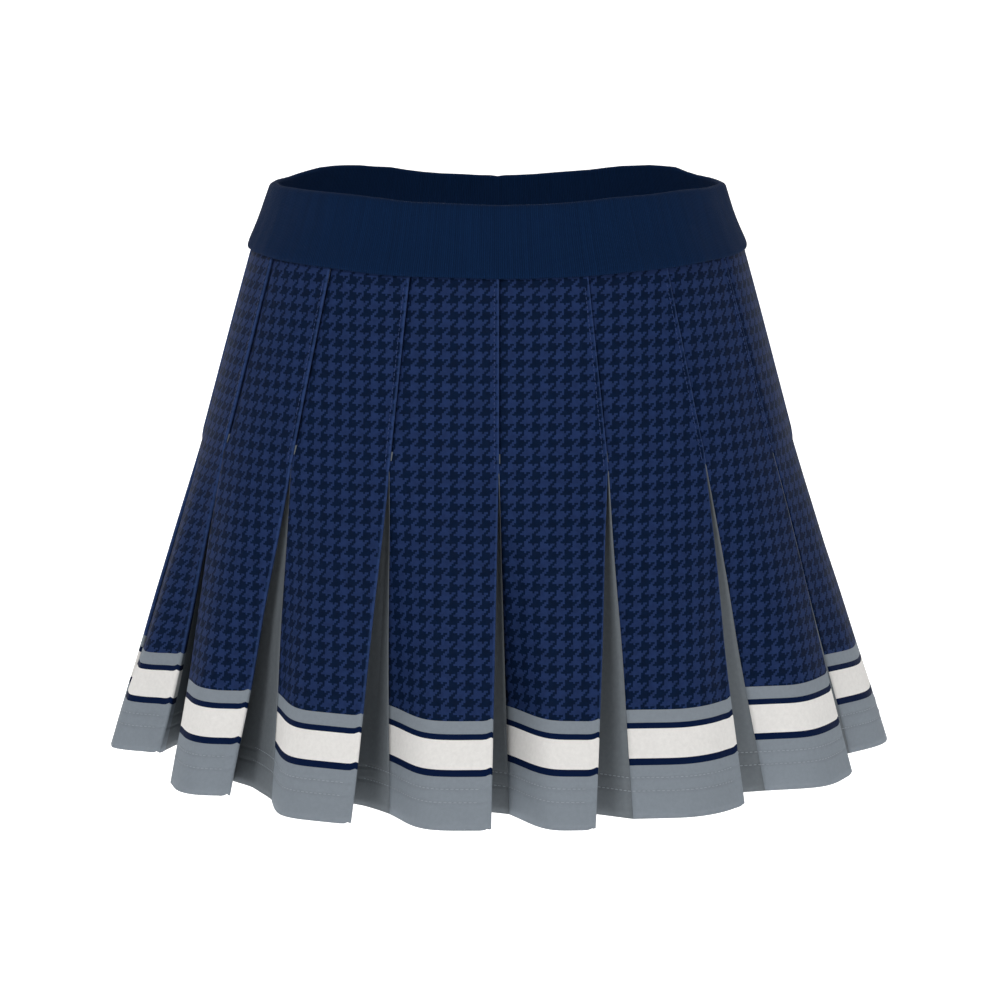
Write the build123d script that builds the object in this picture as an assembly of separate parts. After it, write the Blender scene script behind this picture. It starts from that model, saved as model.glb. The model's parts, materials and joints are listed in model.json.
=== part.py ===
from build123d import *
import os
from math import cos, sin, hypot, radians, degrees

os.makedirs("parts", exist_ok=True)

# Pleated cheer skirt, worn shape. Millimetres.
# Origin: centre of the waist opening, level with the rim at the two hips.
# +Z up, the front faces -Y, +X is the wearer's left.
# Positions round the skirt are ellipse angles in degrees: 0 centre front, 90 wearer's left hip.

# ---- driving dimensions ------------------------------------------------------------------
pleat_count = 16                # knife pleats, all folded toward +X across the front

rim_half_width = 140.0          # waistband outside, at the rim
rim_half_depth = 106.0
band_foot_half_width = 154.5    # waistband outside, at its lower edge
band_foot_half_depth = 118.6
band_height = 44.0              # rim to lower edge, mean
foot_dip = 8.0                  # how far the lower edge sinks from hip to centre front
rim_level_from = 134.0          # the rim is level from here out to the hips, then rolls as below
rim_front = [(0, -5.5), (57, -3.6), (100, -0.9)]    # (distance from centre, height of the rim)
rim_back = [(0, -4.7), (60, -0.5), (107, 4.0)]

release_half_width = 184.5      # skirt at the level where the pleats are let go
release_half_depth = 151.0
release_z = -160.0

hem_half_width = 240.0          # mean crest line of the pleats at the hem
hem_half_depth = 222.0
hem_z = -356.0

cloth = 1.0                     # skirt cloth
knit = 1.3                      # waistband rib knit, one layer
elastic_thickness = 1.6
elastic_top = -9.0
elastic_foot = -31.0
yoke_top = -34.0                # top of the skirt cloth, tucked between the band's two layers
underlay_top = -52.0            # top of the folded layers behind the yoke

release_underlay = 14.0         # how far a pleat folds back under itself where it is let go
hem_underlay = 38.0             # the same at the hem
hem_inner_depth = 46.0          # inner fold at the hem, measured in from the crest line
release_overlap = 11.0          # cloth past the inner fold, lying on the next inset, at the top
hem_overlap = 37.0              # the same at the hem: more than the gap a full flare opens
seam_lap = 8.0                  # underlay past the fold line, behind the next yoke panel

# ---- clearances --------------------------------------------------------------------------
layer_gap = 0.6                 # between layers of neighbouring pleats
side_gap = 0.6                  # between a fold and the next panel beside it
hinge_gap = 0.6                 # between the stitched-down part and the free part
tuck_gap = 0.2                  # between the band layers and what they hold
stitch_gap = 0.05

# ---- how each pleat hangs at the hem -----------------------------------------------------
# (fold angle, fold depth, left edge angle, left edge depth, crest depth); depths run inward
# from the crest line in mm, so a negative depth stands out beyond it.
hang = [
    (-1, -8, -17, 26, -9),
    (13, -11, 2, 34, -10),
    (39, 9, 20, 9, 0),
    (68, 6, 49, 28, 5),
    (92, -3, 73, 14, -3),
    (114, -2, 97, 26, -2),
    (137, 0, 119, 28, 0),
    (158, -4, 141, 24, -4),
    (180, -2, 163, 30, -2),
    (201, -3, 185, 26, -3),
    (222, 2, 206, 28, 0),
    (245, 0, 227, 26, 0),
    (266, -2, 249, 24, -2),
    (288, 20, 271, 18, -3),
    (314, 16, 300, 12, 2),
    (339.5, -6, 321, 28, -6),
]
rise_share = 0.45               # share of a face's width over which it rises to its crest
fall_share = 0.4                # share over which it falls back toward its fold

layer_pitch = cloth + layer_gap
FACE, RETURN, OVERLAP, INSET = (cloth / 2 + n * layer_pitch for n in range(4))
inset_steps = 4
face_steps = 8
return_steps = 3


def at(half_width, half_depth, angle, depth):
    """Plan point at an ellipse angle, moved inward by depth along the normal."""
    t = radians(angle)
    nx = half_depth * sin(t)
    ny = -half_width * cos(t)
    n = hypot(nx, ny)
    return (half_width * sin(t) - depth * nx / n, -half_depth * cos(t) - depth * ny / n)


def turn(half_width, half_depth, angle, length):
    """Ellipse angle of a given arc length near an angle."""
    t = radians(angle)
    return degrees(length / hypot(half_width * cos(t), half_depth * sin(t)))


def equal_arcs(half_width, half_depth, count):
    """Ellipse angles that cut the ellipse into equal lengths, starting at the front."""
    fine = 3600
    run = [0.0]
    for i in range(fine):
        run.append(run[-1] + 1 / turn(half_width, half_depth, (i + 0.5) * 360 / fine, 1.0))
    angles = []
    i = 0
    for k in range(count):
        goal = run[-1] * k / count
        while run[i + 1] <= goal:
            i += 1
        angles.append((i + (goal - run[i]) / (run[i + 1] - run[i])) * 360 / fine)
    return angles


def skirt_size(z):
    """Half width and half depth of the skirt between the waist seam and the release level."""
    share = (z - yoke_top) / (release_z - yoke_top)
    w = waist_half_width + share * (release_half_width - waist_half_width)
    d = waist_half_depth + share * (release_half_depth - waist_half_depth)
    return w, d


def band_size(z, inset):
    """Half width and half depth of the waistband at a height, a given way in from outside."""
    share = -z / band_height
    w = rim_half_width + share * (band_foot_half_width - rim_half_width) - inset
    d = rim_half_depth + share * (band_foot_half_depth - rim_half_depth) - inset
    return w, d


waist_half_width, waist_half_depth = band_size(yoke_top, knit + tuck_gap)


def fold_angle(z, k):
    """Angle of fold k at a height on the stitched-down part; fold 0 is at centre front."""
    w, d = skirt_size(z)
    laps, j = divmod(k, pleat_count)
    return equal_arcs(w, d, pleat_count)[j] + 360 * laps


def ease(x):
    """Smooth step from 0 to 1."""
    x = min(max(x, 0.0), 1.0)
    return x * x * (3 - 2 * x)


def strip_outline(line, thickness):
    """Closed outline of a strip of cloth from its centre line, with mitred corners."""
    left = []
    right = []
    last = len(line) - 1
    for i, (x, y) in enumerate(line):
        before = line[max(i - 1, 0)]
        after = line[min(i + 1, last)]
        normals = []
        for (x0, y0), (x1, y1) in ((before, (x, y)), ((x, y), after)):
            run = hypot(x1 - x0, y1 - y0)
            if run > 1e-9:
                normals.append(((y1 - y0) / run, -(x1 - x0) / run))
        nx = sum(n[0] for n in normals) / len(normals)
        ny = sum(n[1] for n in normals) / len(normals)
        stretch = thickness / 2 / (nx * nx + ny * ny)
        left.append((x + nx * stretch, y + ny * stretch))
        right.append((x - nx * stretch, y - ny * stretch))
    return left, right


def between(low, low_z, high, high_z):
    """Solid between two outlines of equal point count at two heights, sides ruled."""
    a = [Vector(x, y, low_z) for x, y in low]
    b = [Vector(x, y, high_z) for x, y in high]
    faces = [Face(Wire.make_polygon(a)), Face(Wire.make_polygon(b))]
    for i in range(len(a)):
        j = (i + 1) % len(a)
        foot = Edge.make_line(a[i], a[j])
        head = Edge.make_line(b[i], b[j])
        faces.append(Face.make_surface_from_curves(foot, head))
    return Solid(Shell(faces))


def cloth_solid(low_line, low_z, high_line, high_z, first, last):
    """Part of a strip of cloth, from one station of its centre line to another."""
    outlines = []
    for line in (low_line, high_line):
        left, right = strip_outline(line, cloth)
        outlines.append(left[first:last + 1] + right[first:last + 1][::-1])
    return between(outlines[0], low_z, outlines[1], high_z)


# ---- pleats: free part, from the release level to the hem --------------------------------
free_top = release_z - hinge_gap


def inset_span(k):
    """Hem angles where the inset that leads to pleat k starts and ends."""
    fold = hang[k - 1][0] - (360 if k == 0 else 0)
    return fold - turn(hem_half_width, hem_half_depth, fold, hem_underlay), hang[k][2]


def inset_path(k, share, lift):
    """Hem point a share of the way along that inset, raised outward by lift."""
    start, edge = inset_span(k)
    depth = hem_inner_depth + (hang[k][3] - hem_inner_depth) * share * share
    return at(hem_half_width, hem_half_depth, start + (edge - start) * share, depth - lift)


def hem_line(k):
    """Centre line of pleat k at the hem: inset, face, return, overlap."""
    fold, fold_depth, edge, edge_depth, crest = hang[k]
    line = [inset_path(k, i / inset_steps, 0.0) for i in range(inset_steps)]
    tip = fold - turn(hem_half_width, hem_half_depth, fold, cloth / 2)
    for i in range(face_steps + 1):
        u = i / face_steps
        depth = edge_depth + (crest - edge_depth) * ease(u / rise_share)
        depth += (fold_depth - crest) * ease((u - 1 + fall_share) / fall_share)
        line.append(at(hem_half_width, hem_half_depth, edge + (tip - edge) * u, depth))
    inner = fold - turn(hem_half_width, hem_half_depth, fold, hem_underlay)
    inner_depth = hem_inner_depth - 2 * layer_pitch
    for i in range(return_steps + 1):
        u = i / return_steps
        depth = fold_depth + layer_pitch
        depth += (inner_depth - depth) * u
        line.append(at(hem_half_width, hem_half_depth, tip + (inner - tip) * u, depth))
    after = (k + 1) % pleat_count
    start, end = inset_span(after)
    reach = turn(hem_half_width, hem_half_depth, start, hem_overlap) / (end - start)
    for i in range(inset_steps + 1):
        line.append(inset_path(after, reach * i / inset_steps, layer_pitch))
    return line


def release_line(k):
    """The same stations at the release level, where the layers lie flat on each other."""
    w, d = release_half_width, release_half_depth
    left_fold = fold_angle(release_z, k - 1)
    right_fold = fold_angle(release_z, k)
    start = left_fold - turn(w, d, left_fold, release_underlay)
    edge = left_fold + turn(w, d, left_fold, side_gap + cloth / 2)
    line = []
    for i in range(inset_steps):
        line.append(at(w, d, start + (edge - start) * i / (inset_steps - 1), INSET))
    tip = right_fold - turn(w, d, right_fold, cloth / 2)
    for i in range(face_steps + 1):
        line.append(at(w, d, edge + (tip - edge) * i / face_steps, FACE))
    inner = right_fold - turn(w, d, right_fold, release_underlay)
    for i in range(return_steps + 1):
        line.append(at(w, d, tip + (inner - tip) * i / return_steps, RETURN))
    far = inner + turn(w, d, right_fold, release_overlap)
    for i in range(inset_steps + 1):
        line.append(at(w, d, inner + (far - inner) * i / inset_steps, OVERLAP))
    return line


def make_pleat(k):
    """Inset and folded face of one pleat, butted at the seam between them."""
    low = hem_line(k)
    high = release_line(k)
    inset = cloth_solid(low, hem_z, high, free_top, 0, inset_steps)
    face = cloth_solid(low, hem_z, high, free_top, inset_steps, len(low) - 1)
    return inset, face


# ---- stitched-down part ------------------------------------------------------------------
def yoke_line(z, k):
    """Centre line of yoke panel k at a height, from beside the last fold to its own."""
    w, d = skirt_size(z)
    left_fold = fold_angle(z, k - 1)
    right_fold = fold_angle(z, k)
    start = left_fold + turn(w, d, left_fold, side_gap)
    return [at(w, d, start + (right_fold - start) * i / 6, FACE) for i in range(7)]


def underlay_line(z, k):
    """Centre line of the folded layers behind fold k: back from the fold, then under."""
    w, d = skirt_size(z)
    fold = fold_angle(z, k)
    inner = fold - turn(w, d, fold, release_underlay)
    tip = fold - turn(w, d, fold, cloth / 2)
    far = fold + turn(w, d, fold, seam_lap)
    line = [at(w, d, tip + (inner - tip) * i / 2, RETURN) for i in range(3)]
    return line + [at(w, d, inner + (far - inner) * i / 3, OVERLAP) for i in range(4)]


def stitch_outline(z, k):
    """Cross-section of the line of edge stitching beside fold k."""
    w, d = skirt_size(z)
    fold = fold_angle(z, k)
    near = fold - turn(w, d, fold, 1.6)
    far = fold - turn(w, d, fold, 2.2)
    skin = -stitch_gap
    return [at(w, d, far, skin), at(w, d, near, skin), at(w, d, near, skin - 0.4),
            at(w, d, far, skin - 0.4)]


def make_yoke_panel(k):
    low = yoke_line(release_z, k)
    high = yoke_line(yoke_top, k)
    return cloth_solid(low, release_z, high, yoke_top, 0, len(low) - 1)


def make_underlays():
    pieces = []
    for k in range(pleat_count):
        low = underlay_line(release_z, k)
        high = underlay_line(underlay_top, k)
        pieces.append(cloth_solid(low, release_z, high, underlay_top, 0, len(low) - 1))
    return Compound(children=pieces)


def make_edge_stitching():
    top = -band_height - foot_dip
    pieces = []
    for k in range(pleat_count):
        low = stitch_outline(release_z, k)
        pieces.append(between(low, release_z, stitch_outline(top, k), top))
    return Compound(children=pieces)


# ---- waistband ---------------------------------------------------------------------------
slot_outer = knit
slot_width = elastic_thickness + 3 * tuck_gap


def band_plug(inset):
    """Solid cone of elliptical section, its side a given way in from the band's outside."""
    high, low = 6.0, -band_height - 20.0
    rings = []
    for z in (high, low):
        w, d = band_size(z, inset)
        rings.append(Plane.XY.offset(z) * Ellipse(w, d).face())
    return loft(rings, ruled=True)


def rim_line(heights, top):
    """Height of the rim across the front or the back, seen from the front."""
    right = [(x, top + z) for x, z in heights] + [(rim_level_from, top)]
    left = [(-x, z) for x, z in reversed(right[1:])]
    return Spline(left + right, tangents=((1, 0), (1, 0)))


def saddle(top, foot):
    """Block whose top follows the rim and whose bottom sinks toward centre front and back."""
    wide, level = band_foot_half_width, rim_level_from
    block = None
    for heights, way in ((rim_front, -1), (rim_back, 1)):
        upper = rim_line(heights, top)
        lower = ThreePointArc((-wide, foot), (0, foot - foot_dip), (wide, foot))
        ends = Polyline((level, top), (wide, top), (wide, foot))
        ends += Polyline((-level, top), (-wide, top), (-wide, foot))
        profile = make_face(Plane.XZ * (upper + lower + ends))
        half = extrude(profile, amount=band_foot_half_depth + 40, dir=(0, way, 0))
        block = half if block is None else block + half
    return block


def make_waistband():
    foot = -band_height + foot_dip / 2
    ring = (band_plug(0.0) - band_plug(slot_outer + slot_width + knit))
    ring = ring & saddle(0.0, foot)
    slot = band_plug(slot_outer) - band_plug(slot_outer + slot_width)
    slot = slot & saddle(-knit, foot - 10)
    return ring - slot


def make_elastic():
    ring = band_plug(slot_outer + tuck_gap) - band_plug(slot_outer + tuck_gap + elastic_thickness)
    height = elastic_top - elastic_foot
    slab = Pos(0, 0, (elastic_top + elastic_foot) / 2) * Box(400, 400, height)
    return ring & slab


# ---- care label --------------------------------------------------------------------------
def make_label():
    """Blank label hanging inside centre back, its top caught in the waist seam."""
    width, length, thickness = 24.0, 40.0, 0.4
    top = -band_height - foot_dip / 2 - 3.0
    d = skirt_size(top)[1] - 2.5 * layer_pitch - cloth - 1.5
    return Pos(0, d - thickness / 2, top - length / 2) * Box(width, thickness, length)


def save(shape, name):
    export_step(shape, f"parts/{name}.step")


save(make_waistband(), "waistband_shell")
save(make_elastic(), "waistband_elastic")
save(make_underlays(), "stitched_underlays")
save(make_edge_stitching(), "edge_stitching")
save(make_label(), "care_label")
for k in range(pleat_count):
    number = f"{k + 1:02d}"
    inset_solid, face_solid = make_pleat(k)
    save(make_yoke_panel(k), f"yoke_panel_{number}")
    save(inset_solid, f"pleat_{number}_inset")
    save(face_solid, f"pleat_{number}_face")
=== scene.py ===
import json
import math

import bpy
import numpy as np
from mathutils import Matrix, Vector, noise

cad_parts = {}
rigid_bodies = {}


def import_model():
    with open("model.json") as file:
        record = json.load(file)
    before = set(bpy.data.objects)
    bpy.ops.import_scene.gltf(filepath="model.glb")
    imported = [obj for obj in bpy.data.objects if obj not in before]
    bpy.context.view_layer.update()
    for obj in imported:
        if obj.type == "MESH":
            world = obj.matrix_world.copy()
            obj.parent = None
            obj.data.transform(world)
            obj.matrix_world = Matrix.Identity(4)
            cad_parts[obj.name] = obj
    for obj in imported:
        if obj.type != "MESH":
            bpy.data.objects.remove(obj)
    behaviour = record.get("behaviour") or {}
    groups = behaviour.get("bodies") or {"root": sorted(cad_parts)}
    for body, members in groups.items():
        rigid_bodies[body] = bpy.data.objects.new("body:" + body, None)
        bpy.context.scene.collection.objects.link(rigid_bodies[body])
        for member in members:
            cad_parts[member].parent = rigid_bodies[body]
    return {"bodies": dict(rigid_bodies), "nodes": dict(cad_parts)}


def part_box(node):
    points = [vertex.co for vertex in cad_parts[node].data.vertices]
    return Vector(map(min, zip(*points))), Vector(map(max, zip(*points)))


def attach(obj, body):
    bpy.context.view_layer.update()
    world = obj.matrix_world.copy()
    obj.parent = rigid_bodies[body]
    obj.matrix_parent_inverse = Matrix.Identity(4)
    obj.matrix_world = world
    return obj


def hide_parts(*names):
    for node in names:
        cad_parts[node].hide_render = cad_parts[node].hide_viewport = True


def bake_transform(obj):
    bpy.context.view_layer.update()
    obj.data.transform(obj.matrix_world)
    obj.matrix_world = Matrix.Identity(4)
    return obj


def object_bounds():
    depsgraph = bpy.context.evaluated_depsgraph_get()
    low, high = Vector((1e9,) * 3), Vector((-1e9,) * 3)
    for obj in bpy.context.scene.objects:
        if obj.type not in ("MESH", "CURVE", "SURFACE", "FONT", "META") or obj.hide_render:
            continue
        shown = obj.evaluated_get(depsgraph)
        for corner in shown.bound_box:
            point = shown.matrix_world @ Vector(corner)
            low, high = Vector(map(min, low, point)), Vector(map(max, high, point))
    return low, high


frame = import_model()
cad_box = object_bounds()
nodes = frame["nodes"]
scene = bpy.context.scene

ROOT = "skirt_top"
PLEATS = sorted(b for b in frame["bodies"] if b.startswith("pleat_"))
CLOTH = 0.0010                   # CAD cloth thickness, used to find the ends of an outline
SKIN = 0.0009                    # thickness of the modelled cloth

# print, measured up the cloth from the hem edge
HEM_GRAY, LINE_1, WHITE, LINE_2, TOP_GRAY = 0.0312, 0.0352, 0.0527, 0.0561, 0.0639
REPEAT = 0.0095                  # houndstooth repeat
STITCH_ROWS = (0.0162, 0.0240)   # coverstitch, up from the hem edge
HEM_DEPTH = 0.0265               # cloth turned up inside
COVER_PITCH, COVER_STITCH = 0.0029, 0.0021
EDGE_PITCH, EDGE_STITCH = 0.0027, 0.0020
SAME_PLACE = 3e-5                # two CAD points closer than this are one
RIB_PITCH = 0.00122
WALE, COURSE = 0.00062, 0.00048  # spacing of the double-knit's columns and rows of loops


# ---- reading the CAD ----------------------------------------------------------------------
def cap_loops(node, z):
    """Outlines, as lists of (x, y), of the flat ends that a CAD node has at height z."""
    me = nodes[node].data
    index, pts = {}, []
    where = []
    for v in me.vertices:
        key = tuple(round(c, 5) for c in v.co)
        if key not in index:
            index[key] = len(pts)
            pts.append(key)
        where.append(index[key])
    count = {}
    for p in me.polygons:
        vs = [where[i] for i in p.vertices]
        if all(abs(pts[v][2] - z) < SAME_PLACE for v in vs):
            for a, b in zip(vs, vs[1:] + vs[:1]):
                e = (min(a, b), max(a, b))
                count[e] = count.get(e, 0) + 1
    links = {}
    for (a, b), c in count.items():
        if c == 1:
            links.setdefault(a, []).append(b)
            links.setdefault(b, []).append(a)
    loops, seen = [], set()
    for first in links:
        if first in seen:
            continue
        loop, here = [first], first
        seen.add(first)
        while True:
            ahead = [n for n in links[here] if n not in seen]
            if not ahead:
                break
            here = ahead[0]
            seen.add(here)
            loop.append(here)
        loops.append(np.array([pts[i][:2] for i in loop]))
    return loops


def centre_line(loop, i):
    """Middle of a strip outline, from the end whose edge runs from point i to point i + 1."""
    n = len(loop)
    return np.array([(loop[(i - s) % n] + loop[(i + 1 + s) % n]) / 2 for s in range(n // 2)])


def end_edges(loop):
    """Indices of the outline edges as long as the cloth is thick."""
    n = len(loop)
    runs = [np.linalg.norm(loop[(i + 1) % n] - loop[i]) for i in range(n)]
    return [i for i in range(n) if abs(runs[i] - CLOTH) < SAME_PLACE]


def shared_edge(loop, other):
    """Index of the outline edge whose two points are both on the other outline."""
    n = len(loop)
    on = [min(np.linalg.norm(other - p, axis=1)) < SAME_PLACE for p in loop]
    return next(i for i in range(n) if on[i] and on[(i + 1) % n])


def pleat_rows(k):
    """Centre lines of a pleat's inset and face at its top and at the hem."""
    face, inset = f"{PLEATS[k]}_face", f"{PLEATS[k]}_inset"
    low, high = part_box(face)
    rows = {}
    for name, z in (("hem", low.z), ("top", high.z)):
        a, b = cap_loops(face, z)[0], cap_loops(inset, z)[0]
        rows[name] = (centre_line(a, shared_edge(a, b)), centre_line(b, shared_edge(b, a))[::-1])
    return rows, low.z, high.z


def angle_of(p):
    """Angle of a point round the skirt, from the front toward +X."""
    return math.atan2(p[0], -p[1])


def turn_between(a, b):
    """Signed angle from b to a, within half a turn."""
    return (a - b + math.pi) % (2 * math.pi) - math.pi


def yoke_rows(k):
    """Centre lines of a yoke panel, left to right, at its foot and its top."""
    node = PLEATS[k].replace("pleat", "yoke_panel")
    low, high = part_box(node)
    out = []
    for z in (low.z, high.z):
        loop = cap_loops(node, z)[0]
        line = centre_line(loop, end_edges(loop)[0])
        out.append(line if turn_between(angle_of(line[-1]), angle_of(line[0])) > 0 else line[::-1])
    return out, low.z, high.z


under_low, under_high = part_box("stitched_underlays")
under_loops = [cap_loops("stitched_underlays", z) for z in (under_low.z, under_high.z)]


def underlay_row(level, near):
    """Centre line of the folded layers behind the fold at a point, starting at the fold."""
    best = None
    for loop in under_loops[level]:
        for i in end_edges(loop):
            line = centre_line(loop, i)
            gap = np.linalg.norm(line[0] - near)
            if best is None or gap < best[0]:
                best = (gap, line)
    return best[1]


# ---- shape helpers ------------------------------------------------------------------------
def ease(x):
    x = min(max(x, 0.0), 1.0)
    return x * x * (3 - 2 * x)


def through(stations, count):
    """A smooth curve through stations, at count points evenly spread over the stations."""
    p = np.vstack([2 * stations[0] - stations[1], stations, 2 * stations[-1] - stations[-2]])
    out = []
    for t in np.linspace(0, len(stations) - 1, count):
        i = min(int(t), len(stations) - 2)
        f = t - i
        a, b, c, d = p[i], p[i + 1], p[i + 2], p[i + 3]
        out.append(0.5 * (2 * b + (c - a) * f + (2 * a - 5 * b + 4 * c - d) * f * f
                          + (3 * b - a - 3 * c + d) * f ** 3))
    return np.array(out)


def fold_arc(a, b, away, count):
    """Points of a round fold from a to b, bulging the way that away points."""
    mid, half = (a + b) / 2, (a - b) / 2
    r = np.linalg.norm(half)
    side = away / np.linalg.norm(away)
    out = []
    for s in range(1, count + 1):
        t = math.pi * s / (count + 1)
        out.append(mid + half * math.cos(t) + side * r * math.sin(t))
    return np.array(out)


def outward(line):
    """Unit normals of a line that runs left to right round the skirt, pointing out of it."""
    d = np.gradient(line, axis=0)
    n = np.stack([d[:, 1], -d[:, 0]], axis=1)
    return n / np.linalg.norm(n, axis=1)[:, None]


def arc_lengths(line):
    """Distance along a line to each of its points."""
    return np.concatenate([[0], np.cumsum(np.linalg.norm(np.diff(line, axis=0), axis=1))])


def heights_above_hem(verts):
    """Distance up the cloth from the hem edge to each point of a grid of rows and columns."""
    up = np.zeros(verts.shape[:2])
    for r in range(len(verts) - 2, -1, -1):
        up[r] = up[r + 1] + np.linalg.norm(verts[r] - verts[r + 1], axis=1)
    return up


def soften(x, y, z, amount):
    """A small, smooth radial displacement, the same for every layer at one place."""
    r = math.hypot(x, y)
    a = noise.noise(Vector((x * 14, y * 14, z * 9 + 3.1)))
    b = noise.noise(Vector((x * 38, y * 38, z * 16 + 7.7)))
    k = (a + 0.35 * b) * amount / r
    return x + x * k, y + y * k


def mesh_object(name, verts, faces, uvs=None, mats=(), indices=None, hem_uvs=None):
    me = bpy.data.meshes.new(name)
    me.from_pydata([tuple(v) for v in verts], [], faces)
    for layer_name, coords in (("UVMap", uvs), ("Hem", hem_uvs or uvs)):
        if coords is not None:
            layer = me.uv_layers.new(name=layer_name)
            for loop in me.loops:
                layer.data[loop.index].uv = coords[loop.vertex_index]
    for m in mats:
        me.materials.append(m)
    if indices is not None:
        me.polygons.foreach_set("material_index", indices)
    me.polygons.foreach_set("use_smooth", [True] * len(me.polygons))
    me.update()
    o = bpy.data.objects.new(name, me)
    scene.collection.objects.link(o)
    return o


def apply_modifiers(o):
    """Makes the result of an object's modifiers its mesh."""
    dg = bpy.context.evaluated_depsgraph_get()
    me = bpy.data.meshes.new_from_object(o.evaluated_get(dg), depsgraph=dg)
    o.modifiers.clear()
    o.data = me


def thicken(o, thickness, material_offset=0):
    """Gives a sheet its thickness as real geometry, half to each side."""
    m = o.modifiers.new("thickness", "SOLIDIFY")
    m.thickness = thickness
    m.offset = 0.0
    m.material_offset = material_offset
    m.use_rim = True
    m.use_even_offset = False
    apply_modifiers(o)


def grid_faces(rows, cols, keep=lambda r, c: True):
    """Faces of a grid, and the row and column of each, for the cells that keep lets through."""
    faces, cells = [], []
    for r in range(rows - 1):
        for c in range(cols - 1):
            if keep(r, c):
                a = r * cols + c
                faces.append((a, a + cols, a + cols + 1, a + 1))
                cells.append((r, c))
    return faces, cells


# ---- materials ----------------------------------------------------------------------------
def lin(r, g, b):
    """Linear colour from 8-bit display values."""
    return tuple(((c / 255 + 0.055) / 1.055) ** 2.4 if c > 10 else c / 255 / 12.92
                 for c in (r, g, b)) + (1.0,)


class Graph:
    """Short-hand for building a node tree."""

    def __init__(self, name, roughness=0.8, sheen=0.0, specular=0.25):
        self.mat = bpy.data.materials.new(name)
        self.mat.use_nodes = True
        self.nt = self.mat.node_tree
        self.nt.nodes.clear()
        self.out = self.nt.nodes.new("ShaderNodeOutputMaterial")
        self.bsdf = self.nt.nodes.new("ShaderNodeBsdfPrincipled")
        self.nt.links.new(self.bsdf.outputs[0], self.out.inputs[0])
        self.bsdf.inputs["Roughness"].default_value = roughness
        self.bsdf.inputs["Sheen Weight"].default_value = sheen
        self.bsdf.inputs["Sheen Roughness"].default_value = 0.5
        self.bsdf.inputs["Specular IOR Level"].default_value = specular

    def node(self, kind, **props):
        n = self.nt.nodes.new(kind)
        for k, v in props.items():
            setattr(n, k, v)
        return n

    def link(self, a, b):
        self.nt.links.new(a, b)

    def put(self, socket, value):
        if isinstance(value, bpy.types.NodeSocket):
            self.link(value, socket)
        else:
            socket.default_value = value

    def math(self, op, a, b=0.0):
        n = self.node("ShaderNodeMath", operation=op)
        self.put(n.inputs[0], a)
        self.put(n.inputs[1], b)
        return n.outputs[0]

    def mix(self, factor, a, b, blend="MIX"):
        n = self.node("ShaderNodeMix", data_type="RGBA", blend_type=blend)
        self.put(n.inputs[0], factor)
        self.put(n.inputs[6], a)
        self.put(n.inputs[7], b)
        return n.outputs[2]

    def uv(self, layer="UVMap"):
        n = self.node("ShaderNodeUVMap", uv_map=layer)
        s = self.node("ShaderNodeSeparateXYZ")
        self.link(n.outputs[0], s.inputs[0])
        return s.outputs[0], s.outputs[1]

    def noise(self, vector, scale, detail=2.0, rough=0.5):
        n = self.node("ShaderNodeTexNoise")
        self.link(vector, n.inputs["Vector"])
        n.inputs["Scale"].default_value = scale
        n.inputs["Detail"].default_value = detail
        n.inputs["Roughness"].default_value = rough
        return n.outputs["Fac"]

    def object_coords(self):
        return self.node("ShaderNodeTexCoord").outputs["Object"]

    def bump(self, height, strength, distance, normal=None):
        n = self.node("ShaderNodeBump")
        self.put(n.inputs["Height"], height)
        n.inputs["Strength"].default_value = strength
        n.inputs["Distance"].default_value = distance
        if normal is not None:
            self.link(normal, n.inputs["Normal"])
        return n.outputs[0]

    def ramp(self, value, low, high, a, b):
        """Maps value from low..high to a..b, clamped."""
        n = self.node("ShaderNodeMapRange")
        self.put(n.inputs[0], value)
        for i, v in enumerate((low, high, a, b)):
            n.inputs[i + 1].default_value = v
        return n.outputs[0]


def knit_bump(g, u, v, strength):
    """Fine wales and courses of a double-knit, with slight unevenness."""
    wale = g.math("SINE", g.math("MULTIPLY", u, 2 * math.pi / WALE))
    course = g.math("SINE", g.math("MULTIPLY", v, 2 * math.pi / COURSE))
    weave = g.math("MULTIPLY", wale, course)
    patches = g.noise(g.object_coords(), 900, 3)
    height = g.math("ADD", g.math("MULTIPLY", weave, 0.5), patches)
    fine = g.bump(height, strength, 0.00012)
    slow = g.noise(g.object_coords(), 55, 3)
    return g.bump(slow, 0.25, 0.0012, fine)


def hem_relief(g, v):
    """Height of the cloth drawn in at the two stitched rows of the hem."""
    total = None
    for row in STITCH_ROWS:
        off = g.math("ABSOLUTE", g.math("SUBTRACT", v, row))
        dent = g.ramp(off, 0.0, 0.0018, 0.0, 1.0)
        total = dent if total is None else g.math("MINIMUM", total, dent)
    return total


GRAY = lin(126, 134, 142)
# the insets' plain gray, set darker than GRAY as painted shade for the recessed insets between the
# pleats
SHADED_INSET_GRAY = lin(106, 112, 117)
NAVY_DARK = lin(4, 20, 45)
NAVY_LIGHT = lin(27, 43, 80)
NAVY_LINE = lin(3, 20, 52)


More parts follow.
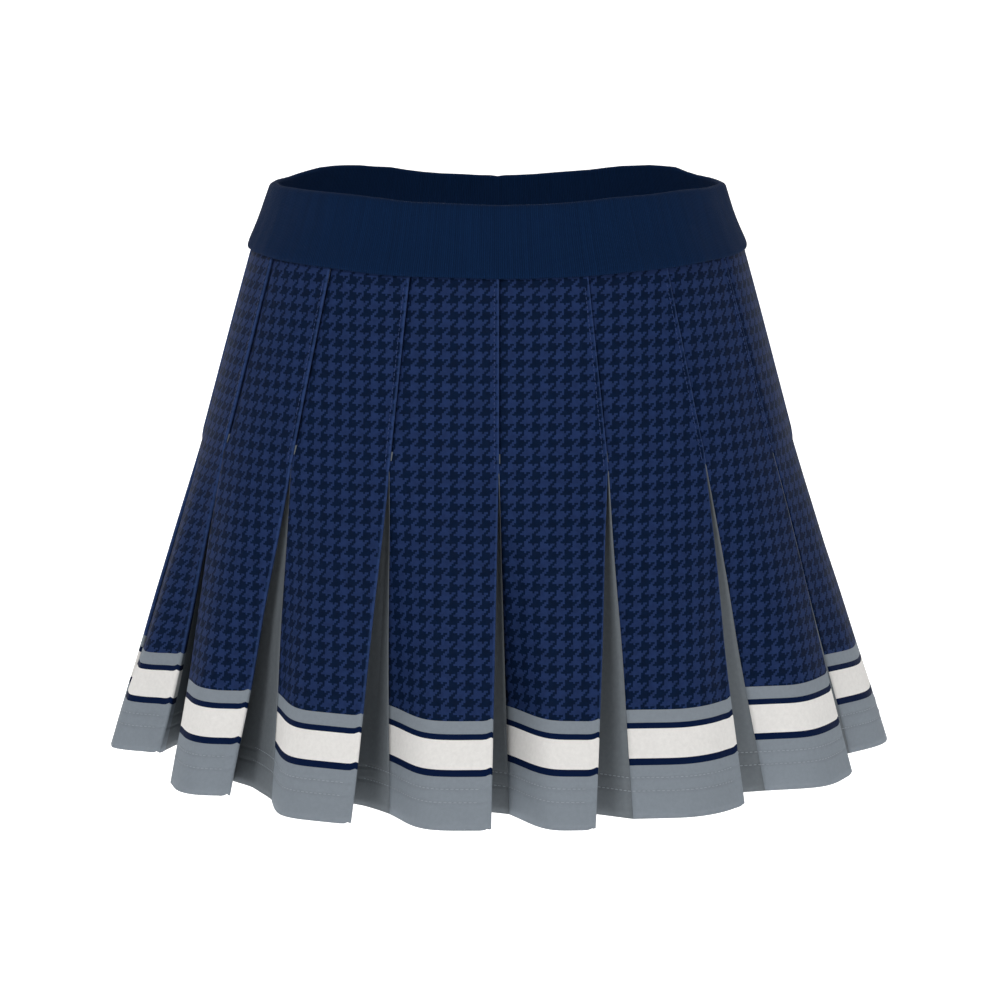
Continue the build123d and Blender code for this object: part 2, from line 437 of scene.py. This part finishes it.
def face_material():
    g = Graph("printed_double_knit", roughness=0.8, sheen=0.004, specular=0.05)
    u, v = g.uv()
    from_fold, hem = g.uv("Hem")
    wobble = g.noise(g.object_coords(), 1500, 1)
    jitter = g.math("MULTIPLY", g.math("SUBTRACT", wobble, 0.5), 0.00055)
    thread = REPEAT / 8
    i = g.math("FLOOR", g.math("DIVIDE", g.math("ADD", u, jitter), thread))
    j = g.math("FLOOR", g.math("DIVIDE", g.math("ADD", v, jitter), thread))
    warp = g.math("LESS_THAN", g.math("FLOORED_MODULO", i, 8.0), 3.5)
    weft = g.math("LESS_THAN", g.math("FLOORED_MODULO", j, 8.0), 3.5)
    over = g.math("LESS_THAN", g.math("FLOORED_MODULO", g.math("SUBTRACT", i, j), 4.0), 1.5)
    pick = g.math("ADD", g.math("MULTIPLY", over, warp),
                  g.math("MULTIPLY", g.math("SUBTRACT", 1.0, over), weft))
    check = g.mix(pick, NAVY_DARK, NAVY_LIGHT)
    blotch = g.ramp(g.noise(g.object_coords(), 240, 3), 0.35, 0.65, 0.9, 1.12)
    check = g.mix(1.0, check, blotch, "MULTIPLY")
    ramp = g.node("ShaderNodeValToRGB")
    ramp.color_ramp.interpolation = "CONSTANT"
    reach = 0.08
    stops = [(0.0, GRAY), (HEM_GRAY, NAVY_LINE), (LINE_1, lin(224, 222, 219)),
             (WHITE, NAVY_LINE), (LINE_2, GRAY)]
    elements = ramp.color_ramp.elements
    for e, (height, colour) in zip(elements, stops):
        e.position, e.color = height / reach, colour
    for height, colour in stops[2:]:
        elements.new(height / reach).color = colour
    g.put(ramp.inputs[0], g.math("DIVIDE", hem, reach))
    mottle = g.ramp(g.noise(g.object_coords(), 420, 4, 0.65), 0.3, 0.7, 0.94, 1.03)
    bands = g.mix(1.0, ramp.outputs[0], mottle, "MULTIPLY")
    above = g.math("GREATER_THAN", hem, TOP_GRAY)
    # painted highlight: the print is lightened along the pressed fold's rounded edge, where the
    # fold catches light
    fold_highlight = g.ramp(g.math("ABSOLUTE", from_fold), 0.0004, 0.0016, 0.55, 0.0)
    # painted highlight mixed into the print at the fold edge
    check = g.mix(fold_highlight, check, lin(54, 76, 124))
    g.put(g.bsdf.inputs["Base Color"], g.mix(above, bands, check))
    g.put(g.bsdf.inputs["Roughness"],
          g.ramp(g.noise(g.object_coords(), 300, 2), 0.3, 0.7, 0.66, 0.82))
    fine = knit_bump(g, u, v, 0.35)
    g.put(g.bsdf.inputs["Normal"], g.bump(hem_relief(g, hem), 0.5, 0.0006, fine))
    return g.mat


def inset_material():
    g = Graph("plain_double_knit", roughness=0.8, sheen=0.004, specular=0.05)
    u, v = g.uv()
    mottle = g.ramp(g.noise(g.object_coords(), 380, 4, 0.6), 0.3, 0.7, 0.93, 1.05)
    # base colour darkened as painted shade for the recessed insets
    g.put(g.bsdf.inputs["Base Color"], g.mix(1.0, SHADED_INSET_GRAY, mottle, "MULTIPLY"))
    g.put(g.bsdf.inputs["Roughness"],
          g.ramp(g.noise(g.object_coords(), 300, 2), 0.3, 0.7, 0.68, 0.84))
    fine = knit_bump(g, u, v, 0.4)
    g.put(g.bsdf.inputs["Normal"], g.bump(hem_relief(g, v), 0.5, 0.0006, fine))
    return g.mat


def rib_material():
    g = Graph("fine_rib_knit", roughness=0.85, sheen=0.004, specular=0.05)
    u, v = g.uv()
    drift = g.math("MULTIPLY", g.noise(g.object_coords(), 60, 2), 0.0006)
    rib = g.math("SINE", g.math("MULTIPLY", g.math("ADD", u, drift), 2 * math.pi / RIB_PITCH))
    loops = g.math("SINE", g.math("MULTIPLY", v, 2 * math.pi / 0.0009))
    shade = g.ramp(rib, -1.0, 1.0, 0.72, 1.12)
    streak = g.node("ShaderNodeCombineXYZ")
    g.put(streak.inputs[0], g.math("MULTIPLY", u, 1100.0))
    g.put(streak.inputs[1], g.math("MULTIPLY", v, 12.0))
    lines = g.ramp(g.noise(streak.outputs[0], 1.0, 2), 0.3, 0.7, 0.85, 1.12)
    colour = g.mix(1.0, lin(8, 31, 62), shade, "MULTIPLY")
    g.put(g.bsdf.inputs["Base Color"], g.mix(1.0, colour, lines, "MULTIPLY"))
    height = g.math("ADD", rib, g.math("MULTIPLY", loops, 0.25))
    fine = g.bump(height, 0.55, 0.00025)
    g.put(g.bsdf.inputs["Normal"], g.bump(g.noise(g.object_coords(), 45, 3), 0.3, 0.002, fine))
    return g.mat


def plain_material(name, colour, roughness, scale, depth, sheen=0.0):
    g = Graph(name, roughness=roughness, sheen=sheen, specular=0.3)
    vary = g.ramp(g.noise(g.object_coords(), scale, 3), 0.3, 0.7, 0.88, 1.08)
    g.put(g.bsdf.inputs["Base Color"], g.mix(1.0, colour, vary, "MULTIPLY"))
    g.put(g.bsdf.inputs["Roughness"],
          g.ramp(g.noise(g.object_coords(), scale * 0.4, 2), 0.3, 0.7, roughness - 0.08,
                 roughness + 0.08))
    g.put(g.bsdf.inputs["Normal"], g.bump(g.noise(g.object_coords(), scale * 2, 2), 0.4, depth))
    return g.mat


face_mat = face_material()
inset_mat = inset_material()
rib_mat = rib_material()
gray_thread = plain_material("gray_thread", lin(146, 153, 160), 0.6, 2500, 0.00008)
navy_thread = plain_material("navy_thread", lin(40, 58, 104), 0.6, 2500, 0.00008)
elastic_mat = plain_material("woven_elastic", lin(214, 212, 206), 0.7, 1200, 0.0002)
label_mat = plain_material("satin_label", lin(226, 224, 218), 0.45, 900, 0.00005)


# ---- pleat cloth --------------------------------------------------------------------------
FACE_COLS, FOLD_COLS, RETURN_COLS, TURN_COLS, OVER_COLS = 27, 3, 10, 2, 7
MORE_COLS = 6
COLS = FACE_COLS + FOLD_COLS + RETURN_COLS + TURN_COLS + OVER_COLS + MORE_COLS
R_COL = FACE_COLS - 1
INSET_COLS = 16


def column_line(face, back, over):
    """One row of the folded cloth from its parts' stations: face, return and overlap."""
    a = through(face, FACE_COLS)
    b = through(back, RETURN_COLS)
    c = through(over, OVER_COLS)
    right = fold_arc(a[-1], b[0], a[-1] - a[-2], FOLD_COLS)
    left = fold_arc(b[-1], c[0], b[-1] - b[-2], TURN_COLS)
    return np.vstack([a, right, b, left, c])


def relax(line):
    """Eases the rise from a face's left edge to its crest, leaving the cloth near the fold."""
    a = line[:FACE_COLS]
    w = np.array([1 - ease((c / (FACE_COLS - 1) - 0.6) / 0.3) for c in range(FACE_COLS)])
    for _ in range(24):
        a[1:-1] += ((a[:-2] + a[2:]) / 2 - a[1:-1]) * 0.5 * w[1:-1, None]


def lie_down(line):
    """Lets the end of the overlap sink onto the next inset, as one continuous cloth would."""
    first = COLS - MORE_COLS - OVER_COLS
    n = outward(line[first:])
    for c in range(OVER_COLS):
        line[first + c] -= n[c] * 0.0021 * ease(c / (OVER_COLS - 1) * 1.25 - 0.25)


def run_on(line, inset, reach):
    """Carries the overlap on behind the next inset for a given length."""
    path = through(inset, 60)
    n = outward(path)
    start = int(np.argmin(np.linalg.norm(path - line[-1], axis=1)))
    run = arc_lengths(path)
    extra = []
    for m in range(1, MORE_COLS + 1):
        goal = min(run[start] + reach * m / MORE_COLS, run[-1] - 0.004)
        i = min(int(np.searchsorted(run, goal)), len(path) - 1)
        extra.append(path[i] - n[i] * (0.0005 + 0.0007 * min(1.0, m / 2)))
    return np.vstack([line, extra])


# how much higher than level each pleat's hem hangs, at the hips only
HANG_HIGH = [0.0, 0.0, 0.0, 0.0, 0.0085, 0.007, 0.003, 0.0, 0.0, 0.0, 0.0, 0.003, 0.007, 0.0085,
             0.0, 0.0]
HIP_PLEAT = 13                   # rounds the wearer's right hip, so it keeps its full swell
YOKE_ROWS, FREE_ROWS = 26, 46    # rows of cloth above and below the release level
SEAM_TOP = -0.050                # the edge stitching starts below this height
CORNER_ROWS = 5


def drop_share(z, top_z, hem_z):
    return max(0.0, (top_z - z) / (top_z - hem_z)) ** 1.2


def place(x_y, z, waist_z, lift):
    """A point of the cloth, moved by the soft unevenness that grows toward the hem."""
    amount = 0.0004 + 0.0016 * ease((waist_z - 0.02 - z) / 0.25)
    x, y = soften(x_y[0], x_y[1], z, amount)
    return x, y, z + lift


def yoke_line(z, yoke, under):
    """One row of the stitched-down cloth, tucked in beside its left seam and puffed at its fold."""
    (low, high), seam_z, waist_z = yoke
    face = high + (low - high) * ((waist_z - z) / (waist_z - seam_z))
    t = (under_high.z - z) / (under_high.z - under_low.z)
    folded = under[1] + (under[0] - under[1]) * t
    line = column_line(face, folded[:3], folded[3:])
    line = np.vstack([line] + [line[-1:]] * MORE_COLS)
    run = arc_lengths(line[:FACE_COLS])
    n = outward(line[:FACE_COLS])
    tuck = ease((z - seam_z) / 0.014)
    for c in range(FACE_COLS):
        line[c] -= n[c] * 0.0016 * tuck * (1 - ease(run[c] / 0.0055))
    puffed = 0.0009 * ease((z - seam_z) / 0.01 + 0.3)
    for c in range(R_COL + FOLD_COLS + 1):
        near = min(c, R_COL)
        line[c] += n[near] * puffed * ease(1 - abs(run[-1] - run[near]) / 0.0036)
    return line


def free_line(k, s, rows, next_rows):
    """One row of the free cloth, at a share s of the way from the release level to the hem."""
    st = rows["top"][0] + (rows["hem"][0] - rows["top"][0]) * s
    line = column_line(st[:9], st[9:13], st[13:])
    if k != HIP_PLEAT:
        relax(line)
    lie_down(line)
    after = next_rows["top"][1] + (next_rows["hem"][1] - next_rows["top"][1]) * s
    return run_on(line, after, 0.001 + 0.015 * s)


def round_corner(verts, hem_line):
    """Rounds the corner of the hem at the fold slightly."""
    run = arc_lengths(hem_line)
    for c in range(COLS):
        lift = 0.0016 * max(0.0, 1 - abs(run[c] - run[R_COL]) / 0.005) ** 2
        for step in range(CORNER_ROWS):
            verts[step - CORNER_ROWS, c, 2] += lift * (step + 1) / CORNER_ROWS


def face_uvs(k, verts, up, zs, seam_z, hem_z):
    """Level, plumb coordinates for the houndstooth, and coordinates along the hem for the bands."""
    mid = FACE_COLS // 2
    tangent = verts[YOKE_ROWS, mid + 1] - verts[YOKE_ROWS, mid - 1]
    across = tangent[0] / np.linalg.norm(tangent)
    plumb = ease((abs(across) - 0.3) / 0.6) / across
    uvs, hem_uvs = [], []
    for r, z in enumerate(zs):
        run = arc_lengths(verts[r])
        lean = (verts[r, mid, 0] - verts[YOKE_ROWS, mid, 0]) * plumb
        level = 1.06 * (min(z, seam_z) - hem_z) + 1.035 * max(0.0, z - seam_z)
        for c in range(COLS):
            uvs.append((run[c] - run[mid] + lean + panel_start[k], level))
            hem_uvs.append((run[c] - run[R_COL + 2], up[r, c]))
    return uvs, hem_uvs


def make_printed_cloth(k, rows, next_rows, yoke, hem_z, top_z):
    """Printed cloth from waist seam to hem, with its return and overlap: object, grid, heights."""
    body = PLEATS[k]
    (yoke_low, yoke_high), seam_z, waist_z = yoke
    under = [underlay_row(0, yoke_low[-1]), underlay_row(1, yoke_high[-1])]
    yoke_zs = list(np.linspace(waist_z, seam_z + 0.002, YOKE_ROWS))
    free_zs = list(np.linspace(top_z, hem_z, FREE_ROWS))
    zs = yoke_zs + free_zs
    lines = [yoke_line(z, yoke, under) for z in yoke_zs]
    lines += [free_line(k, (top_z - z) / (top_z - hem_z), rows, next_rows) for z in free_zs]
    verts = np.zeros((len(zs), COLS, 3))
    for r, (z, line) in enumerate(zip(zs, lines)):
        lift = HANG_HIGH[k] * drop_share(z, top_z, hem_z)
        for c in range(COLS):
            verts[r, c] = place(line[c], z, waist_z, lift)
    round_corner(verts, lines[-1])
    up = heights_above_hem(verts)
    uvs, hem_uvs = face_uvs(k, verts, up, zs, seam_z, hem_z)

    def shown(r, c):
        folded_back = zs[r] < under_high.z and (c < COLS - MORE_COLS - 1 or r >= YOKE_ROWS)
        return c < R_COL + FOLD_COLS + 2 or folded_back

    faces, cells = grid_faces(len(zs), COLS, shown)
    indices = [0 if c < R_COL + FOLD_COLS + 3 or zs[r] > top_z - 0.014 else 2
               for r, c in cells]
    used = sorted({i for f in faces for i in f})
    new = {old: i for i, old in enumerate(used)}
    o = mesh_object(f"{body}_cloth", verts.reshape(-1, 3)[used],
                    [tuple(new[i] for i in f) for f in faces], [uvs[i] for i in used],
                    [face_mat, inset_mat, inset_mat], indices, [hem_uvs[i] for i in used])
    area = sum(q.area for q in o.data.polygons)
    thicken(o, SKIN, 1)
    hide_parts(f"{body}_face", body.replace("pleat", "yoke_panel"))
    return o, verts, up, zs, area


def make_inset_cloth(k, rows, yoke, hem_z, top_z):
    """Inset from the hem to a margin tucked up behind the yoke: object, grid, heights, area."""
    body = PLEATS[k]
    (yoke_low, yoke_high), seam_z, waist_z = yoke
    margin = 0.012
    zs = [top_z + margin, top_z + margin / 2] + list(np.linspace(top_z, hem_z, FREE_ROWS))
    verts = np.zeros((len(zs), INSET_COLS, 3))
    lean = (np.linalg.norm(yoke_low[3]) - np.linalg.norm(yoke_high[3])) / (waist_z - seam_z)
    for r, z in enumerate(zs):
        s = max(0.0, (top_z - z) / (top_z - hem_z))
        line = through(rows["top"][1] + (rows["hem"][1] - rows["top"][1]) * s, INSET_COLS)
        line[-1] = rows["top"][0][0] + (rows["hem"][0][0] - rows["top"][0][0]) * s
        if z > top_z:
            line = line * (1 - lean * (z - top_z) / np.linalg.norm(line, axis=1))[:, None]
        for c in range(INSET_COLS):
            t = ease(c / (INSET_COLS - 1))
            high = HANG_HIGH[k - 1] * (1 - t) + HANG_HIGH[k] * t
            verts[r, c] = place(line[c], z, waist_z, high * drop_share(z, top_z, hem_z))
    up = heights_above_hem(verts)
    uvs = []
    for r in range(len(zs)):
        run = arc_lengths(verts[r])
        uvs += [(run[c], up[r, c]) for c in range(INSET_COLS)]
    faces, _ = grid_faces(len(zs), INSET_COLS)
    o = mesh_object(f"{body}_inset_cloth", verts.reshape(-1, 3), faces, uvs, [inset_mat])
    area = sum(q.area for q in o.data.polygons)
    thicken(o, SKIN)
    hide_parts(f"{body}_inset")
    return o, verts, up, area


def make_pleat(k):
    """The cloth of one pleat, its hem and its stitches. Returns the printed cloth's grid."""
    body = PLEATS[k]
    rows, hem_z, top_z = pleat_rows(k)
    next_rows = pleat_rows((k + 1) % len(PLEATS))[0]
    yoke = yoke_rows(k)
    cloth, verts, up, zs, area = make_printed_cloth(k, rows, next_rows, yoke, hem_z, top_z)
    inset, inset_verts, inset_up, inset_area = make_inset_cloth(k, rows, yoke, hem_z, top_z)
    turn_up(body, verts, up, inset_verts, inset_up)
    for piece in (cloth, inset):
        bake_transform(piece)
    return verts, zs


def inward(verts, r, c):
    """Unit normal of the cloth grid at a point, toward the inside of the skirt."""
    a = verts[r, min(c + 1, verts.shape[1] - 1)] - verts[r, max(c - 1, 0)]
    b = verts[min(r + 1, verts.shape[0] - 1), c] - verts[max(r - 1, 0), c]
    n = np.cross(b, a)
    return -n / np.linalg.norm(n)


def at_height(verts, up, c, height):
    """Row position, as a float, where a column is a given way up from the hem edge."""
    col = up[::-1, c]
    i = int(np.searchsorted(col, height))
    f = (height - col[i - 1]) / (col[i] - col[i - 1])
    return len(col) - 1 - (i - 1 + f)


def sample(verts, up, c, height):
    """Point and inward normal on the cloth, at a float column and a height above the hem."""
    c0 = min(int(c), verts.shape[1] - 2)
    f = c - c0
    out = []
    for cc in (c0, c0 + 1):
        r = at_height(verts, up, cc, height)
        r0 = min(int(r), verts.shape[0] - 2)
        g = r - r0
        out.append((verts[r0, cc] * (1 - g) + verts[r0 + 1, cc] * g, inward(verts, r0, cc)))
    point = out[0][0] * (1 - f) + out[1][0] * f
    n = out[0][1] * (1 - f) + out[1][1] * f
    return point, n / np.linalg.norm(n)


def add_stitch(verts, faces, a, b, normal, radius):
    """One stitch: a slim spindle of thread from a to b."""
    axis = b - a
    length = np.linalg.norm(axis)
    axis = axis / length
    side = np.cross(axis, normal)
    side /= np.linalg.norm(side)
    rise = np.cross(side, axis)
    base = len(verts)
    sides = 6
    rings = ((0.0, 0.15), (0.18, 0.85), (0.5, 1.0), (0.82, 0.85), (1.0, 0.15))
    for t, rr in rings:
        centre = a + axis * length * t
        for s in range(sides):
            ang = 2 * math.pi * s / sides
            verts.append(centre + (side * math.cos(ang) + rise * math.sin(ang)) * radius * rr)
    for ring in range(len(rings) - 1):
        for s in range(sides):
            i, j = base + ring * sides + s, base + ring * sides + (s + 1) % sides
            faces.append((i, j, j + sides, i + sides))
    faces.append(tuple(base + s for s in reversed(range(sides))))
    faces.append(tuple(base + (len(rings) - 1) * sides + s for s in range(sides)))


def along(points, run, d):
    """Point at a distance d along a line, and the index of the line's point after it."""
    i = max(1, min(int(np.searchsorted(run, d)), len(points) - 1))
    f = (d - run[i - 1]) / (run[i] - run[i - 1])
    return points[i - 1] * (1 - f) + points[i] * f, i


def turn_up(body, verts, up, inset_verts, inset_up):
    """Inner layer of the hem and the coverstitch rows, for a pleat's face and its inset."""
    rows, edge_gap = 8, 0.0006
    stitch_verts, stitch_faces = [], []
    pieces = (("face", verts, up, 1, R_COL - 2),
              ("inset", inset_verts, inset_up, 2, INSET_COLS - 1))
    for name, grid, heights, first, last in pieces:
        cols = range(first, last + 1)
        levels = [edge_gap + HEM_DEPTH * r / (rows - 1) for r in range(rows)]
        layer = []
        for level in levels:
            for c in cols:
                p, n = sample(grid, heights, c, level)
                layer.append(p + n * (SKIN * 0.95))
        faces, _ = grid_faces(rows, len(cols))
        uvs = [(u, level) for level in levels for u in np.linspace(0, 0.08, len(cols))]
        hem = mesh_object(f"{body}_{name}_hem", layer, faces, uvs, [inset_mat])
        thicken(hem, SKIN * 0.8)
        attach(hem, body)
        for height in STITCH_ROWS:
            spots = [sample(grid, heights, c, height) for c in np.arange(first - 1, last + 1, 0.5)]
            points = np.array([p for p, _ in spots])
            run = arc_lengths(points)
            for s in range(int((run[-1] - 0.001) / COVER_PITCH)):
                ends = []
                for d in (0.0, COVER_STITCH):
                    q, i = along(points, run, s * COVER_PITCH + edge_gap + d)
                    ends.append(q - spots[i][1] * (SKIN / 2 + 0.00005))
                add_stitch(stitch_verts, stitch_faces, *ends, spots[i][1], 0.00026)
    o = mesh_object(f"{body}_coverstitch", stitch_verts, stitch_faces, mats=[gray_thread])
    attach(o, body)


def stitch_edge(grid, zs, verts, faces):
    """Edge stitching beside a pleat's fold, from the waist seam to the release point."""
    spots = []
    for r in range(YOKE_ROWS):
        if zs[r] <= SEAM_TOP:
            run = arc_lengths(grid[r, :FACE_COLS])
            p, i = along(grid[r], run, run[-1] - 0.0019)
            spots.append((p, inward(grid, r, i)))
    points = np.array([p for p, _ in spots])
    run = arc_lengths(points)
    for s in range(int(run[-1] / EDGE_PITCH)):
        ends = []
        for d in (s * EDGE_PITCH, s * EDGE_PITCH + EDGE_STITCH):
            q, i = along(points, run, d)
            ends.append(q - spots[i][1] * (SKIN / 2 + 0.00002))
        add_stitch(verts, faces, *ends, spots[i][1], 0.0002)


panel_start = [0.0]
for k in range(len(PLEATS)):
    foot = yoke_rows(k)[0][0]
    panel_start.append(panel_start[-1] + np.linalg.norm(foot[-1] - foot[0]) * 1.003)

edge_verts, edge_faces = [], []
for k in range(len(PLEATS)):
    stitch_edge(*make_pleat(k), edge_verts, edge_faces)

edge = mesh_object("edge_stitching_thread", edge_verts, edge_faces, mats=[navy_thread])
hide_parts("edge_stitching")
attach(edge, ROOT)
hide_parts("stitched_underlays")


# ---- waistband ----------------------------------------------------------------------------
BAND_LAYER, BAND_DEPTH = 0.0013, 0.0049    # one layer of rib, and the whole folded band
BAND_STEPS = 360
# outer layer round its foot and up its outside, as (height above the foot, inset) in millimetres
OUTER_FOOT = ((7.0, 1.2), (3.5, 1.15), (1.3, 0.95), (0.35, 0.4), (0.0, -0.3), (0.35, -1.0),
              (1.3, -1.45), (2.8, -1.65), (5.0, -1.6), (8.0, -1.25), (12.0, -0.75),
              (17.0, -0.3), (23.0, 0.0), (29.0, 0.0), (35.0, 0.0))
INNER_HEIGHTS = (37.0, 30.0, 22.0, 14.0, 8.0, 4.0, 1.5, 0.4)


def band_profile():
    """Section of the band as (inset from its outside, the end measured from, distance)."""
    prof = [(inset / 1000, "foot", z / 1000) for z, inset in OUTER_FOOT]
    radius = BAND_DEPTH / 2
    for a in np.linspace(0, math.pi, 9):
        prof.append((radius - radius * math.cos(a), "rim", radius - radius * math.sin(a)))
    prof += [(BAND_DEPTH, "foot", z / 1000) for z in INNER_HEIGHTS]
    prof += [(BAND_DEPTH - 0.0004, "foot", 0.0), (BAND_DEPTH - 0.0011, "foot", 0.0004),
             (BAND_DEPTH - BAND_LAYER, "foot", 0.002), (BAND_DEPTH - BAND_LAYER, "foot", 0.0065)]
    return prof


def rim_heights(co, rim_w, rim_d):
    """Angles round the band, and the height of the CAD's rim at each."""
    edge = [(math.atan2(v[0] / rim_w, -v[1] / rim_d) % (2 * math.pi), v[2])
            for v in co[co[:, 2] > -0.0072]]
    steps = 72
    known = []
    for i in range(steps + 1):
        c = 2 * math.pi * i / steps
        near = [z for t, z in edge if abs(turn_between(t, c)) < 0.06]
        if near:
            known.append((c, max(near)))
    return zip(*known)


def seam_push(seam, inner):
    """Centre-back seam: a shallow groove outside, the seam allowance as a ridge inside."""
    if inner:
        return -0.0012 * ease(1 - seam / 0.0055) + 0.0006 * math.exp(-(seam / 0.0006) ** 2)
    return -0.0006 * math.exp(-(seam / 0.0009) ** 2)


def make_waistband():
    """The folded rib tube: outer layer, round fold at the rim, inner layer, open at its foot."""
    co = np.array([v.co for v in nodes["waistband_shell"].data.vertices])
    low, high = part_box("waistband_shell")
    hips = np.abs(co[:, 1]) < 0.02
    rim_w = np.abs(co[hips & (np.abs(co[:, 2]) < 0.0006)][:, 0]).max()
    front = co[(np.abs(co[:, 0]) < 0.012) & (co[:, 1] < 0)]
    rim_z_front = front[:, 2].max()
    rim_d = np.abs(front[front[:, 2] > rim_z_front - 0.0006][:, 1]).max()
    rim_angles, rim_levels = rim_heights(co, rim_w, rim_d)
    foot_z_side = co[np.abs(co[:, 0]) > high.x - 0.0008][:, 2].min()
    grow_w = (high.x - rim_w) / -foot_z_side
    grow_d = (high.y - rim_d) / (rim_z_front - low.z)
    level_d = rim_d + grow_d * rim_z_front
    angles = [2 * math.pi * i / BAND_STEPS for i in range(BAND_STEPS + 1)]
    run = [0.0]
    for t in angles[:-1]:
        middle = t + math.pi / BAND_STEPS
        run.append(run[-1] + math.hypot(high.x * math.cos(middle), high.y * math.sin(middle))
                   * 2 * math.pi / BAND_STEPS * 0.96)
    ribs = round(run[-1] / RIB_PITCH)
    prof = band_profile()
    verts, uvs = [], []
    for i, t in enumerate(angles):
        sx, cx = math.sin(t), math.cos(t)
        z_rim = float(np.interp(t, rim_angles, rim_levels))
        z_foot = low.z + (foot_z_side - low.z) * sx ** 2
        back = abs(turn_between(t, math.pi))
        rise = noise.noise(Vector((sx * 4, cx * 4, 2.0))) * 0.0006
        up, last = 0.0, None
        for inset, end, dist in prof:
            z = z_foot + dist if end == "foot" else z_rim - dist
            x, y = (rim_w - grow_w * z - inset) * sx, -(level_d - grow_d * z - inset) * cx
            r = math.hypot(x, y)
            seam = back * r
            wave = noise.noise(Vector((sx * 5, cx * 5, z * 22))) * 0.0009
            wave += noise.noise(Vector((sx * 16, cx * 16, z * 45 + 9))) * 0.0003
            swell = 1 + (seam_push(seam, inset > BAND_DEPTH / 2) + wave) / r
            z += rise
            if end == "rim":
                z -= 0.0005 * math.exp(-(seam / 0.002) ** 2)
            p = np.array([x * swell, y * swell, z])
            if last is not None:
                up += np.linalg.norm(p - last)
            last = p
            verts.append(p)
            uvs.append((run[i] / run[-1] * ribs * RIB_PITCH, up))
    faces, _ = grid_faces(len(angles), len(prof))
    o = mesh_object("waistband_rib_knit", verts, faces, uvs, [rib_mat])
    # close the ring where its two ends meet
    weld = o.modifiers.new("weld", "WELD")
    weld.merge_threshold = 1e-6
    apply_modifiers(o)
    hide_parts("waistband_shell")
    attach(o, ROOT)


make_waistband()

elastic = nodes["waistband_elastic"].data.materials
elastic.clear()
elastic.append(elastic_mat)


# ---- care label ---------------------------------------------------------------------------
LABEL_SIZE = (0.024, 0.040)


def make_label():
    """Blank label sewn in at the centre back, with a slight curl."""
    low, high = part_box("care_label")
    cols, rows = 10, 18
    verts, uvs = [], []
    for r in range(rows):
        t = r / (rows - 1)
        for c in range(cols):
            s = c / (cols - 1)
            x = low.x + (high.x - low.x) * s
            z = high.z + (low.z - high.z) * t
            curl = 0.0016 * t * t + 0.0005 * math.sin(s * math.pi)
            verts.append((x, (low.y + high.y) / 2 - curl, z))
            uvs.append((s * LABEL_SIZE[0], t * LABEL_SIZE[1]))
    faces, _ = grid_faces(rows, cols)
    o = mesh_object("care_label_satin", verts, faces, uvs, [label_mat])
    thicken(o, 0.0003)
    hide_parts("care_label")
    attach(o, ROOT)


make_label()


# ---- stage, light, camera -----------------------------------------------------------------
def stage():
    """A plain pale floor that curves up into a back wall."""
    g = Graph("backdrop", roughness=0.95, specular=0.0)
    shade = g.ramp(g.noise(g.object_coords(), 1.5, 2), 0.3, 0.7, 0.985, 1.0)
    g.put(g.bsdf.inputs["Base Color"], g.mix(1.0, (0.94, 0.94, 0.94, 1), shade, "MULTIPLY"))
    g.bsdf.inputs["Emission Color"].default_value = (1, 1, 1, 1)
    g.bsdf.inputs["Emission Strength"].default_value = 0.68
    half, back, top, floor, bend = 9.0, 4.0, 6.0, -0.62, 1.5
    prof = [(-half, floor), (back - bend, floor)]
    for i in range(1, 12):
        a = math.pi / 2 * i / 12
        prof.append((back - bend + bend * math.sin(a), floor + bend - bend * math.cos(a)))
    prof += [(back, floor + bend), (back, top)]
    verts = [(x, y, z) for y, z in prof for x in (-half, half)]
    faces = [(2 * i, 2 * i + 1, 2 * i + 3, 2 * i + 2) for i in range(len(prof) - 1)]
    o = mesh_object("backdrop", verts, faces, mats=[g.mat])


def area_light(name, place, target, size, power):
    data = bpy.data.lights.new(name, "AREA")
    data.shape = "DISK"
    data.size = size
    data.energy = power
    o = bpy.data.objects.new(name, data)
    o.location = place
    o.rotation_mode = "QUATERNION"
    o.rotation_quaternion = (Vector(target) - Vector(place)).to_track_quat("-Z", "Y")
    scene.collection.objects.link(o)


stage()
low, high = cad_box
middle = (low + high) / 2
area_light("key", (-1.2, -2.4, 2.0), middle, 1.1, 45)
area_light("fill", (2.0, -2.0, 0.9), middle, 1.4, 15)
area_light("top", (0.2, 0.6, 2.4), middle, 2.0, 11)
world = bpy.data.worlds.new("studio")
world.use_nodes = True
background = world.node_tree.nodes["Background"]
background.inputs["Color"].default_value = (1.0, 1.0, 1.0, 1)
background.inputs["Strength"].default_value = 0.24
scene.world = world
scene.view_settings.view_transform = "Standard"

CAMERA_PITCH = 9.03              # degrees below level
camera = bpy.data.cameras.new("camera")
camera.sensor_width = 36
camera.lens = 151.7
camera.clip_start, camera.clip_end = 0.05, 50
eye = bpy.data.objects.new("camera", camera)
eye.location = (0.0015, -2.6, 0.214)
eye.rotation_euler = (math.radians(90 - CAMERA_PITCH), 0, 0)
scene.collection.objects.link(eye)
scene.camera = eye
